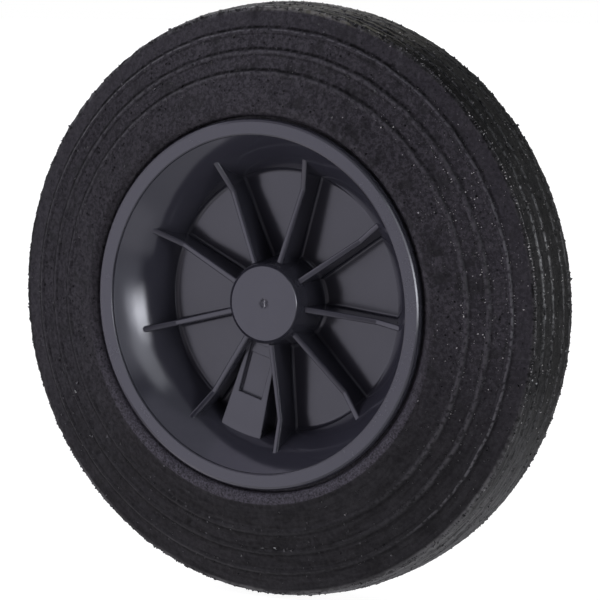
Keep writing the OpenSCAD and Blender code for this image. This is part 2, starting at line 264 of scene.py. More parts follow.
hubFinish = {
    "base": (0.0240, 0.0238, 0.0312, 1),
    "pale": (0.0272, 0.0270, 0.0350, 1),
    "cloudScale": 45.0,         # of the slow change between the two
    # painted light: the flat ring paler than the dish, for the extra light it catches
    "ringLitTone": (0.0335, 0.0330, 0.0415, 1),
    # paler convex edges: rubbed wear and a painted edge highlight
    "wornAndGlint": (0.05, 0.05, 0.06, 1),
    "wornAndGlintAmount": 0.35,
    "dust": (0.20, 0.20, 0.21, 1),
    "dustAmount": 0.015,
    "dustPatch": 60 * mm,
    "tint": (0.95, 0.95, 1.0, 1),            # of the reflections
    "wallStart": (43.5 * mm, 46 * mm),       # radii between which the dish's wall begins
    "ringStart": (55.8 * mm, 56.4 * mm),     # the same for the flat ring
    "wallRoughness": 0.10,      # the dish's wall is the smoothest
    "floorRoughness": 0.17,
    "ringRoughness": 0.24,
    "dustRoughness": 0.06,      # added where dust lies
    "grainRoughness": 0.02,     # added on the grain's peaks
    "grainSize": 0.35 * mm,
    "grainHeight": 0.004 * mm,
    "waveSize": 9 * mm,         # slow waves that bend the reflections a little
    "waveHeight": 0.035 * mm,
    "edgeRadius": 0.45 * mm,
    # rolled edges of the boss, the dish and the ring: start and end radius in mm, and
    # whether the edge falls away outward
    "rolls": [(12.40, 14.2, True), (56.75, 56.2, False), (60.55, 62.0, True)],
    "rollSlope": 1.17,
    "rollRoughness": -0.14,     # added on the rolls
    "frontLevel": -12 * mm,     # the rolls and the gate's mark lie in front of it
    "gateScar": (0.30, 0.30, 0.31, 1),       # torn plastic in the middle of the boss
    "gateScale": 1100.0,
    "gateReach": (0.9 * mm, 2.3 * mm),       # half widths of the mark, full and gone
    "gateDepth": 0.90 * mm,
    "scarBend": 1.2 * mm,
    "scarWide": (0.06 * mm, 0.26 * mm),
    "scarTall": (0.7 * mm, 1.9 * mm),
}


# how far each point of the rolled edges lies past their starts
def buildEdgeRoll():
    group, given, out = startGroup("edgeRoll",
                                   [("Radius", "Float", 0.05), ("Depth", "Float", 0.0)],
                                   [("Fall", "Float"), ("Mask", "Float")])
    radius = mathNode(group, "DIVIDE", given["Radius"], mm)
    falls = []
    for start, end, outward in hubFinish["rolls"]:
        past = minus(group, *((radius, start) if outward else (start, radius)))
        inside = mathNode(group, "LESS_THAN", past, abs(end - start))
        falls.append(times(group, larger(group, past, 0.0), inside))
    front = mathNode(group, "LESS_THAN", given["Depth"], hubFinish["frontLevel"])
    total = times(group, plus(group, *falls), front)
    putOut(group, out, {"Fall": times(group, total, mm),
                        "Mask": mathNode(group, "GREATER_THAN", total, 0.02)})
    return group


# the spot where the plastic was let into the mould: rough, with a pale upright scar
def buildGateMark():
    look = hubFinish
    group, given, out = startGroup("gateMark", [("Point", "Vector", None)],
                                   [("Height", "Float"), ("Scar", "Float")])
    place = splitNode(group, given["Point"])
    rough = minus(group, noiseNode(group, given["Point"], look["gateScale"]), 0.5)
    front = mathNode(group, "LESS_THAN", place["Y"], look["frontLevel"])
    across = addNode(group, "ShaderNodeCombineXYZ", {0: place["X"], 1: place["Z"]}).outputs[0]
    radius = addNode(group, "ShaderNodeVectorMath", {0: across},
                     operation="LENGTH").outputs["Value"]
    near = times(group, fadeNode(group, radius, *look["gateReach"]), front)
    bent = plus(group, place["X"], times(group, rough, look["scarBend"]))
    wide = fadeNode(group, mathNode(group, "ABSOLUTE", bent), *look["scarWide"])
    tall = fadeNode(group, mathNode(group, "ABSOLUTE", place["Z"]), *look["scarTall"])
    putOut(group, out, {"Height": times(group, near, rough),
                        "Scar": times(group, wide, tall, front)})
    return group


edgeRoll = buildEdgeRoll()
gateMark = buildGateMark()


def buildHubPlastic():
    look = hubFinish
    material, tree, shader = startMaterial("hubPlastic", IOR=1.5, Specular_Tint=look["tint"])
    place = useGroup(tree, axlePlace)
    point, radius = place["Point"], place["Radius"]
    grain = useGroup(tree, mouldGrain, {"Point": point, "Grain Size": look["grainSize"]})
    gate = useGroup(tree, gateMark, {"Point": point})
    roll = useGroup(tree, edgeRoll, {"Radius": radius, "Depth": place["Depth"]})
    onWall = rangeNode(tree, radius, *look["wallStart"])
    onRing = rangeNode(tree, radius, *look["ringStart"])

    cloud = noiseNode(tree, point, look["cloudScale"], 4.0)
    tone = mixColor(tree, rangeNode(tree, cloud, 0.35, 0.68), look["base"], look["pale"])
    dust = useGroup(tree, dustFilm, {"Point": point, "Color": tone, "Dust Color": look["dust"],
                                     "Amount": look["dustAmount"], "Patch Size": look["dustPatch"]})
    # convex edges paler: rubbed wear and a painted edge highlight
    wornAndGlint = useGroup(tree, edgeWearAndHighlight, {"Color": dust["Color"], "Worn And Glint Color": look["wornAndGlint"],
                                     "Amount": look["wornAndGlintAmount"]})
    # painted light: the flat ring made paler
    tone = mixColor(tree, onRing, wornAndGlint["Color"], look["ringLitTone"])
    tone = mixColor(tree, gate["Scar"], tone, look["gateScar"])

    rough = rangeNode(tree, onWall, 0, 1, look["floorRoughness"], look["wallRoughness"], "LINEAR")
    rough = plus(tree, rough,
                 times(tree, onRing, look["ringRoughness"] - look["wallRoughness"]),
                 times(tree, roll["Mask"], look["rollRoughness"]),
                 times(tree, dust["Mask"], look["dustRoughness"]),
                 times(tree, grain["Mask"], look["grainRoughness"]))

    normal = addNode(tree, "ShaderNodeBevel", {"Radius": look["edgeRadius"]}, samples=4).outputs[0]
    normal = bumpNode(tree, times(tree, roll["Fall"], -look["rollSlope"]), 1.0, normal)
    normal = bumpNode(tree, gate["Height"], look["gateDepth"], normal)
    wave = noiseNode(tree, point, 1 / look["waveSize"], 1.5)
    normal = bumpNode(tree, wave, look["waveHeight"], normal)
    normal = bumpNode(tree, grain["Height"], look["grainHeight"], normal)
    putOut(tree, shader, {"Base Color": tone, "Roughness": rough, "Normal": normal})
    return material


# all in mm
tyreShape = {
    "seatRadius": 57.35, "seatHalf": 20.2, "lipRadius": 62.6, "lipStep": 0.5,
    "crestRadius": 66.0, "crestFullness": 0.78, "halfWidth": 23.25,
    "shoulderRadius": 98.5, "shoulderRound": 0.9, "treadHalf": 13.7, "crownRadius": 100.0,
    "stepShares": (0.354, 0.566, 0.782), "stepDepth": 0.8, "stepRun": 3.5,
    # the rounded edge of a step: outward from the edge, and down
    "stepBrow": ((-0.40, -0.02), (-0.14, 0.03), (0.08, 0.14), (0.30, 0.30)),
    "markIn": 1.25, "markHalf": 0.3, "markDepth": 0.12,      # fine line just inside each step
    "grooves": (3.9, 9.2),
    "halfGroove": ((0.95, 0.0), (0.68, 0.05), (0.45, 0.24), (0.0, 0.60)),    # across, and down
    # how rough the rubber is at each part of the section
    "roughAt": {"lip": 0.35, "mark": 0.8, "brow": 0.35, "crease": 0.3, "foot": 0.6,
                "shoulder": 0.9, "groove": 0.5, "crown": 1.0},
    "gapEven": -0.30, "gapSwing": 0.40,      # how the inner edge sits off centre in the rim
    "columns": 644, "frontSpacing": 0.95, "rearSpacing": 2.8, "treadSpacing": 0.95,
    # the sinks keep the lumps inside the solid
    "lumpSize": 2.0, "lumpHeight": 0.16, "lumpSink": 0.9,
    "fineSize": 1.15, "fineHeight": 0.24, "fineSink": 0.6,
    "waveSize": 14.0, "waveHeight": 0.04, "waveSink": 0.6,
    "pits": 3400, "pitGroups": 500, "pitSpread": 3.0, "pitSize": (0.6, 1.5), "pitDepth": 0.55,
}
stepRadii = [tyreShape["crestRadius"]
             + share * (tyreShape["shoulderRadius"] - tyreShape["crestRadius"])
             for share in tyreShape["stepShares"]]

# moulded lines in the tyre's colour and shine: their places from a step's crease, and the
# half widths up to which they are full and from which they are gone, in mm
tyreMarks = {
    "crease": (0.15, 0.95), "creaseAt": 0.05,
    "fine": (0.10, 0.55), "fineAt": -2.05, "fineShare": 0.45,
    "brow": (0.20, 1.1), "browAt": -0.75, "browShare": 0.5,
    "lastBrow": (0.20, 0.5), "lastBrowAt": -0.65,
    "grooveCrease": (0.15, 0.45),
    "grooveEdge": (0.60, 1.0),
    "bendScale": 160.0, "bendReach": 0.8 * mm,
    "tornScale": 700.0,
    "creaseTorn": (0.35, 0.6), "creaseLeast": 0.45,
    "edgeTorn": (0.38, 0.56),
    "treadRadius": (96.5 * mm, 97.5 * mm), "treadLevel": (13.9 * mm, 14.5 * mm),
    "streakScale": (45.0, 1400.0, 45.0), "streakAt": (0.40, 0.62),
}


# masks of the moulded lines: creases for painted shade, and edges that shine and take painted
# glints
def buildTyreLines():
    m, grooves = tyreMarks, tyreShape["grooves"]
    group, given, out = startGroup(
        "tyreLines",
        [("Radius", "Float", 0.08), ("Depth", "Float", 0.0), ("Point", "Vector", None)],
        [("Crease", "Float"), ("Edge", "Float"), ("Tread", "Float"), ("Streak", "Float")])
    point = given["Point"]
    bend = noiseNode(group, point, m["bendScale"], 3.0)
    torn = noiseNode(group, point, m["tornScale"])
    shift = times(group, minus(group, bend, 0.5), m["bendReach"])
    radius = plus(group, given["Radius"], shift)
    depth = plus(group, mathNode(group, "ABSOLUTE", given["Depth"]), times(group, shift, 0.5))
    onTread = times(group, rangeNode(group, given["Radius"], *m["treadRadius"]),
                    fadeNode(group, depth, *m["treadLevel"]))
    drawn = addNode(group, "ShaderNodeVectorMath", {0: point, 1: m["streakScale"]},
                    operation="MULTIPLY").outputs[0]
    streak = noiseNode(group, drawn, 1.0, 3.0)

    def near(value, at, full, none):
        away = mathNode(group, "ABSOLUTE", minus(group, value, at * mm))
        return fadeNode(group, away, full * mm, none * mm)

    def share(mask, part):
        return times(group, mask, part)

    creases = [near(radius, r + m["creaseAt"], *m["crease"]) for r in stepRadii]
    creases += [share(near(radius, r + m["fineAt"], *m["fine"]), m["fineShare"])
                for r in stepRadii[1:]]
    creases += [share(near(depth, y, *m["grooveCrease"]), onTread) for y in grooves]
    edges = [share(near(radius, r + m["browAt"], *m["brow"]), m["browShare"])
             for r in stepRadii[:2]]
    edges += [near(radius, stepRadii[2] + m["lastBrowAt"], *m["lastBrow"])]
    edges += [share(near(depth, y, *m["grooveEdge"]), onTread)
              for y in (*grooves, tyreShape["treadHalf"])]
    creaseTorn = rangeNode(group, torn, *m["creaseTorn"], m["creaseLeast"], 1.0)
    edgeTorn = rangeNode(group, torn, *m["edgeTorn"])
    putOut(group, out, {"Crease": times(group, larger(group, *creases), creaseTorn),
                        "Edge": times(group, larger(group, *edges), edgeTorn),
                        "Tread": onTread, "Streak": rangeNode(group, streak, *m["streakAt"])})
    return group


tyreLines = buildTyreLines()

# pairs are where an effect begins and where it is full; heights are above the axle, sides
# to the right of it
rubberFinish = {
    "dark": (0.0072, 0.0066, 0.0080, 1),
    "pale": (0.0245, 0.0220, 0.0262, 1),
    # painted light: paler crumbs towards the upper right, where the light falls
    "paleLitTop": (0.0400, 0.0368, 0.0427, 1),
    "litTopFrom": (0.0, 75 * mm),
    "sideLean": 0.8,            # how much the right counts as height for the painted light
    "mottle": (0.34, 0.64),
    # painted light: more of the pale crumbs towards the top and the right
    "litUpperHeight": (10 * mm, 75 * mm), "litUpperSide": (20 * mm, 75 * mm), "litUpperShare": 0.35,
    "smoothAndLowShade": (0.0058, 0.0056, 0.0060, 1),  # smooth patches, and painted shade on the lowest part
    "lowShadeHeight": (-64 * mm, 4 * mm), "lowShadeMost": 0.95,
    "smoothPatch": (0.34, 0.46), "smoothMost": 0.7, "patchScale": 130.0,
    "drawn": (0.0135, 0.0130, 0.0142, 1),    # bands in it along the way the rubber flowed
    "bandsAcross": 520.0, "bandsAlong": 55.0, "bandsAt": (0.36, 0.62),
    "strip": (0.0232, 0.0214, 0.0250, 1),    # smoother, between the last step and the shoulder
    "stripRadius": (91.8 * mm, 92.6 * mm), "stripShare": 0.5,
    "litLedge": (0.0720, 0.0665, 0.0810, 1),    # painted light on the low part of the band next to the rim, whose slope catches it
    "litLedgeRadius": (66.2 * mm, 66.9 * mm), "litLedgeHeight": (-50 * mm, 5 * mm),
    "litLedgeGrain": (0.3, 0.7),
    "treadDark": (0.0022, 0.0022, 0.0022, 1),
    "treadPale": (0.0070, 0.0069, 0.0068, 1),
    # painted light: the lower tread paler, lit from the floor
    "treadFloorLit": (0.0800, 0.0790, 0.0775, 1),
    "floorLitHeight": (-75 * mm, -15 * mm), "floorLitLeast": 0.35,
    "treadTopStreaks": (0.0750, 0.0720, 0.0580, 1),
    "topStreakHeight": (82 * mm, 92 * mm), "topStreakSide": (-12 * mm, 12 * mm), "topStreakAt": (0.3, 1.0),
    "wornAndGlint": (0.0900, 0.0850, 0.0950, 1),     # edges of the steps, painted paler on the right as glints
    "glintSide": (-10 * mm, 60 * mm), "glintShare": 0.45,
    "glintHeight": (-50 * mm, 20 * mm), "glintLeast": 0.12,
    "dust": (0.14, 0.13, 0.13, 1),
    "dustAmount": 0.06, "dustPatch": 9 * mm,
    # painted shade in the pits and creases
    "pitAndCreaseShade": (0.0006, 0.0006, 0.0006, 1),
    "pitFrom": (0.30, 0.46), "pitPatch": (0.46, 0.58), "pitShadeShare": 0.9,
    "creaseShadeHeight": (10 * mm, 80 * mm), "creaseShadeShare": (0.45, 0.9),
    "gloss": 0.05,
    "roughness": 0.6,
    "sheen": 0.20,              # weight of the shiny coat away from edges and pits
    "sheenCrumb": (0.36, 0.62), "sheenLeast": 0.4,
    "shine": 0.82,              # the same on worn edges
    "shineRoughness": 0.30,
    "crumbSize": 1.25 * mm, "crumbHeight": 0.42 * mm,
    "grainSize": 0.60 * mm, "grainHeight": 0.14 * mm, "grainSharpness": 0.7,
    "pitSize": 1.9 * mm, "pitHeight": 0.25 * mm,
    "calmShare": 0.25,          # of the bumps, where the rubber is smooth
}


def buildTyreRubber():
    look = rubberFinish
    material, tree, shader = startMaterial(
        "tyreRubber", IOR=1.5, Specular_IOR_Level=look["gloss"], Roughness=look["roughness"],
        Coat_Roughness=look["shineRoughness"], Coat_IOR=1.5)
    place = useGroup(tree, axlePlace)
    point, radius = place["Point"], place["Radius"]
    split = splitNode(tree, point)
    side, height = split["X"], split["Z"]
    higher = plus(tree, height, times(tree, side, look["sideLean"]))
    lines = useGroup(tree, tyreLines, {"Radius": radius, "Depth": place["Depth"], "Point": point})
    grain = useGroup(tree, mouldGrain, {"Point": point, "Grain Size": look["grainSize"],
                                        "Sharpness": look["grainSharpness"]})
    crumb = noiseNode(tree, point, 1 / look["crumbSize"], 3.0, 0.65, 0.3)
    patch = noiseNode(tree, point, look["patchScale"], 4.0, 0.6)
    cells = addNode(tree, "ShaderNodeTexVoronoi", {"Vector": point, "Scale": 1 / look["pitSize"],
                                                   "Randomness": 1.0}).outputs["Distance"]

    # the lowest part is smoother and painted darker as shade, and the outer strip and patches
    # elsewhere are smooth too
    low = rangeNode(tree, height, *look["lowShadeHeight"], look["lowShadeMost"], 0.0)
    strip = times(tree, rangeNode(tree, radius, *look["stripRadius"]),
                  minus(tree, 1.0, larger(tree, lines["Tread"], low)), look["stripShare"])
    smoothPatch = rangeNode(tree, patch, *look["smoothPatch"], look["smoothMost"], 0.0)
    smoothed = larger(tree, low, smoothPatch)
    apart = plus(tree, cells, times(tree, grain["Height"], 0.4))
    pits = times(tree, fadeNode(tree, apart, *look["pitFrom"]),
                 rangeNode(tree, patch, *look["pitPatch"]),
                 minus(tree, 1.0, larger(tree, low, strip)))

    # dark and pale crumbs, with painted light making them paler towards the upper right
    pale = mixColor(tree, rangeNode(tree, higher, *look["litTopFrom"]), look["pale"], look["paleLitTop"])
    litUpperRight = larger(tree, rangeNode(tree, height, *look["litUpperHeight"]),
                    rangeNode(tree, side, *look["litUpperSide"]))
    grainy = plus(tree, times(tree, crumb, 0.6), times(tree, grain["Height"], 0.4))
    mottle = larger(tree, rangeNode(tree, grainy, *look["mottle"]),
                    times(tree, litUpperRight, look["litUpperShare"]))
    tone = mixColor(tree, mottle, look["dark"], pale)

    # smooth rubber with its bands, the strip, and painted light on the low ledge
    flow = addNode(tree, "ShaderNodeCombineXYZ",
                   {0: times(tree, radius, look["bandsAcross"]),
                    1: times(tree, side, look["bandsAlong"]),
                    2: times(tree, height, look["bandsAlong"])}).outputs[0]
    bands = noiseNode(tree, flow, 1.0, 4.0, 0.65)
    drawn = mixColor(tree, rangeNode(tree, bands, *look["bandsAt"]), look["smoothAndLowShade"], look["drawn"])
    tone = mixColor(tree, smoothed, tone, drawn)
    tone = mixColor(tree, strip, tone, look["strip"])
    # painted light: the low ledge beside the rim paler
    litLedge = times(tree, fadeNode(tree, radius, *look["litLedgeRadius"]),
                  fadeNode(tree, height, *look["litLedgeHeight"]),
                  rangeNode(tree, grain["Height"], *look["litLedgeGrain"]))
    tone = mixColor(tree, litLedge, tone, look["litLedge"])
    # painted glints: step edges paler towards the right, where the light glints; the same mask
    # makes them shine
    wornAndGlint = times(tree, lines["Edge"],
                 rangeNode(tree, higher, *look["glintHeight"], look["glintLeast"], 1.0))
    paintedGlint = times(tree, wornAndGlint,
                     rangeNode(tree, side, *look["glintSide"], 0.0, look["glintShare"]))
    tone = mixColor(tree, paintedGlint, tone, look["wornAndGlint"])

    # the tread is darker, with painted light from the floor on its lower part, and paler streaks on
    # top
    tread = mixColor(tree, lines["Streak"], look["treadDark"], look["treadPale"])
    # painted light from the floor, in streaks
    floorLit = times(tree, fadeNode(tree, height, *look["floorLitHeight"]),
                    rangeNode(tree, lines["Streak"], 0, 1, look["floorLitLeast"], 1.0, "LINEAR"))
    # paler olive streaks on the top of the tread
    topStreaks = times(tree, rangeNode(tree, height, *look["topStreakHeight"]),
                  rangeNode(tree, lines["Streak"], *look["topStreakAt"]),
                  rangeNode(tree, side, *look["topStreakSide"]))
    tread = mixColor(tree, floorLit, tread, look["treadFloorLit"])
    tread = mixColor(tree, topStreaks, tread, look["treadTopStreaks"])
    tone = mixColor(tree, lines["Tread"], tone, tread)

    # dust on all of it, and painted shade in the pits and creases
    dust = useGroup(tree, dustFilm, {"Point": point, "Color": tone, "Dust Color": look["dust"],
                                     "Amount": look["dustAmount"], "Patch Size": look["dustPatch"]})
    crease = times(tree, lines["Crease"],
                   rangeNode(tree, height, *look["creaseShadeHeight"], *look["creaseShadeShare"]))
    paintedShade = larger(tree, times(tree, pits, look["pitShadeShare"]), crease)
    tone = mixColor(tree, paintedShade, dust["Color"], look["pitAndCreaseShade"])

    crumbSheen = rangeNode(tree, crumb, *look["sheenCrumb"], look["sheenLeast"], 1.0)
    coat = plus(tree, times(tree, wornAndGlint, look["shine"]), times(tree, crumbSheen, look["sheen"]))
    coat = times(tree, coat, minus(tree, 1.0, paintedShade), clamp=True)

    calm = rangeNode(tree, larger(tree, smoothed, strip), 0, 1, 1.0, look["calmShare"], "LINEAR")
    level = times(tree, crumb, calm, look["crumbHeight"])
    level = minus(tree, level, times(tree, pits, look["pitHeight"]))
    level = plus(tree, level, times(tree, grain["Height"], calm, look["grainHeight"]))
    putOut(tree, shader, {"Base Color": tone, "Coat Weight": coat,
                          "Normal": bumpNode(tree, level, 1.0)})
    return material


bitFinish = {
    "tornDark": (0.004, 0.004, 0.0045, 1),
    "tornPale": (0.022, 0.021, 0.021, 1),
    "tornRoughness": (0.15, 0.40),
    "tornGrain": 0.8 * mm,
    "speckAndGlintDark": (0.06, 0.058, 0.055, 1),
    "speckAndGlintPale": (0.38, 0.37, 0.36, 1),
    "speckRoughness": 0.7,
    "speckScale": 260.0,
}


# torn bits shine on their broken faces
def buildTornRubber():
    look = bitFinish
    material, tree, shader = startMaterial("tornRubber", IOR=1.5)
    place = useGroup(tree, axlePlace)
    grain = useGroup(tree, mouldGrain, {"Point": place["Point"], "Grain Size": look["tornGrain"]})
    putOut(tree, shader, {
        "Base Color": mixColor(tree, grain["Mask"], look["tornDark"], look["tornPale"]),
        "Roughness": rangeNode(tree, grain["Height"], 0.35, 0.65, *look["tornRoughness"])})
    return material


# pale specks in the rubber, and the pale flecks painted as glints
def buildPaleSpeckAndGlint():
    look = bitFinish
    material, tree, shader = startMaterial("paleSpeckAndGlint", Roughness=look["speckRoughness"])
    place = useGroup(tree, axlePlace)
    kinds = rangeNode(tree, noiseNode(tree, place["Point"], look["speckScale"], 1.0), 0.4, 0.6)
    tone = mixColor(tree, kinds, look["speckAndGlintDark"], look["speckAndGlintPale"])
    putOut(tree, shader, {"Base Color": tone})
    return material


boltFinish = {
    "base": (0.012, 0.012, 0.013, 1),
    # paler convex edges: rubbed wear and a painted edge highlight
    "wornAndGlint": (0.05, 0.05, 0.052, 1),
    "wornAndGlintAmount": 0.5,
    "dust": (0.15, 0.15, 0.15, 1),
    "dustAmount": 0.08,
    "dustPatch": 5 * mm,
    "roughness": 0.32,
    "grainRoughness": 0.08,     # added on the grain's peaks
    "grainSize": 0.4 * mm,
    "grainHeight": 0.01 * mm,
    "edgeRadius": 0.3 * mm,
}


def buildBoltPlastic():
    look = boltFinish
    material, tree, shader = startMaterial("boltPlastic", IOR=1.5)
    point = useGroup(tree, axlePlace)["Point"]
    grain = useGroup(tree, mouldGrain, {"Point": point, "Grain Size": look["grainSize"]})
    dust = useGroup(tree, dustFilm, {"Point": point, "Color": look["base"],
                                     "Dust Color": look["dust"], "Amount": look["dustAmount"],
                                     "Patch Size": look["dustPatch"]})
    # convex edges paler: rubbed wear and a painted edge highlight
    wornAndGlint = useGroup(tree, edgeWearAndHighlight, {"Color": dust["Color"], "Worn And Glint Color": look["wornAndGlint"],
                                     "Amount": look["wornAndGlintAmount"]})
    rough = plus(tree, times(tree, grain["Mask"], look["grainRoughness"]), look["roughness"])
    rounded = addNode(tree, "ShaderNodeBevel", {"Radius": look["edgeRadius"]}, samples=4).outputs[0]
    putOut(tree, shader, {"Base Color": wornAndGlint["Color"], "Roughness": rough,
                          "Normal": bumpNode(tree, grain["Height"], look["grainHeight"], rounded)})
    return material


steelFinish = {
    "bright": (0.55, 0.55, 0.56, 1),
    "dull": (0.30, 0.29, 0.28, 1),
    "stainScale": 900.0,
    "oil": (0.05, 0.045, 0.04, 1),
    "oilAmount": 0.5,
    "oilPatch": 3 * mm,
    "roughness": 0.28,
    "oilRoughness": 0.25,       # added where the oil lies
    "grainSize": 0.15 * mm,
    "grainHeight": 0.004 * mm,
}


def buildSpringSteel():
    look = steelFinish
    material, tree, shader = startMaterial("springSteel", Metallic=1.0)
    point = useGroup(tree, axlePlace)["Point"]
    stain = rangeNode(tree, noiseNode(tree, point, look["stainScale"], 3.0), 0.42, 0.7)
    tone = mixColor(tree, stain, look["bright"], look["dull"])
    oil = useGroup(tree, dustFilm, {"Point": point, "Color": tone, "Dust Color": look["oil"],
                                    "Amount": look["oilAmount"], "Patch Size": look["oilPatch"]})
    grain = useGroup(tree, mouldGrain, {"Point": point, "Grain Size": look["grainSize"]})
    rough = plus(tree, times(tree, oil["Mask"], look["oilRoughness"]), look["roughness"])
    putOut(tree, shader, {"Base Color": oil["Color"], "Roughness": rough,
                          "Normal": bumpNode(tree, grain["Height"], look["grainHeight"])})
    return material


hubPlastic = buildHubPlastic()
tyreRubber = buildTyreRubber()
tornRubber = buildTornRubber()
paleSpeckAndGlint = buildPaleSpeckAndGlint()
boltPlastic = buildBoltPlastic()
springSteel = buildSpringSteel()
print("materials built")


# the tyre's half section from the seat round to the middle of the tread, as rows of
# radius, level, how rough the rubber is there, and whether it is a crease
def halfSection(spacing):
    s, at = tyreShape, tyreShape["roughAt"]
    fall = (s["halfWidth"] - s["treadHalf"]) / (s["shoulderRadius"] - s["crestRadius"])
    crown = s["crownRadius"] - s["shoulderRadius"]

    def side(r):
        return s["halfWidth"] - fall * (r - s["crestRadius"])

    def tread(y):
        return s["crownRadius"] - crown * (y / s["treadHalf"]) ** 2

    # seat, lip and the round crest beside the rim
    lip = s["seatHalf"] + s["lipStep"]
    keys = [(s["seatRadius"], 0.0, 0.0, 0), (s["seatRadius"], s["seatHalf"], 0.0, 1),
            (s["lipRadius"], s["seatHalf"], 0.0, 1), (s["lipRadius"], lip, at["lip"], 1)]
    wide, high = s["crestRadius"] - s["lipRadius"], s["halfWidth"] - s["seatHalf"] - s["lipStep"]
    for turn in (15, 30, 45, 60, 75, 90):
        a = math.radians(turn)
        keys.append((s["crestRadius"] - wide * math.cos(a) ** s["crestFullness"],
                     s["halfWidth"] - high * (1 - math.sin(a) ** s["crestFullness"]), at["lip"], 0))

    # steps, each with its fine line, rounded edge and crease
    half = s["stepDepth"] / 2
    slope = fall + half / s["stepRun"]
    for r in stepRadii:
        edge, level = r - s["stepDepth"], side(r) + half
        for off, down in ((-s["markHalf"], 0.0), (0.0, s["markDepth"]), (s["markHalf"], 0.0)):
            keys.append((edge - s["markIn"] + off,
                         level + (s["markIn"] - off) * slope * 0.4 - down, at["mark"], 0))
        keys += [(edge + out, level - down, at["brow"], 0) for out, down in s["stepBrow"]]
        keys.append((r, side(r) - half, at["crease"], 1))
        keys.append((r + 0.25, side(r) - half + 0.02, at["foot"], 0))

    # shoulder, then the tread with its grooves
    low = 90 - math.degrees(math.atan(fall))
    high = math.degrees(math.atan(2 * crown / s["treadHalf"]))
    for i in range(5):
        a = math.radians(low + (high - low) * i / 4)
        keys.append((s["shoulderRadius"] - s["shoulderRound"] * (1 - math.cos(a)),
                     s["treadHalf"] - s["shoulderRound"] * (1 - math.sin(a)), at["shoulder"], 0))
    groove = [*s["halfGroove"], *((-off, down) for off, down in s["halfGroove"][-2::-1])]
    for y in reversed(s["grooves"]):
        keys += [(tread(y + off) - down, y + off, at["groove"], int(off == 0))
                 for off, down in groove]
    keys.append((tread(0), 0.0, at["crown"], 0))

    # more rows between them wherever the rubber is rough
    treadStart = s["shoulderRadius"] - s["shoulderRound"] - 0.01
    rows = [keys[0]]
    for a, b in zip(keys, keys[1:]):
        step = s["treadSpacing"] if a[0] > treadStart else spacing
        n = 1 if a[2] == 0 else max(1, round(math.hypot(b[0] - a[0], b[1] - a[1]) / step))
        for t in (i / n for i in range(1, n)):
            rows.append((a[0] + (b[0] - a[0]) * t, a[1] + (b[1] - a[1]) * t,
                         1.0 if n > 3 else a[2] + (b[2] - a[2]) * t, 0))
        rows.append(b)
    return rows


# most of the tearing is along the steps and round the tread; in mm
tearing = {"anywhere": 0.25, "tread": 1.4, "treadEdge": 2.5, "treadRadius": 97.0,
           "edgeLevel": 11.5, "aboveStep": 0.8, "stepReach": 1.8, "roughFrom": 0.45}


# how likely the rubber is torn at each point
def tearOdds(points, weight):
    t = tearing
    r = np.hypot(points[:, 0], points[:, 2])
    onTread = r > t["treadRadius"]
    onEdge = onTread * (abs(points[:, 1]) > t["edgeLevel"])
    odds = t["anywhere"] + onTread * t["tread"] + onEdge * t["treadEdge"]
    for step in stepRadii:
        odds = odds + np.exp(-((r - step + t["aboveStep"]) / t["stepReach"]) ** 2)
    odds *= weight > t["roughFrom"]
    return odds / odds.sum()


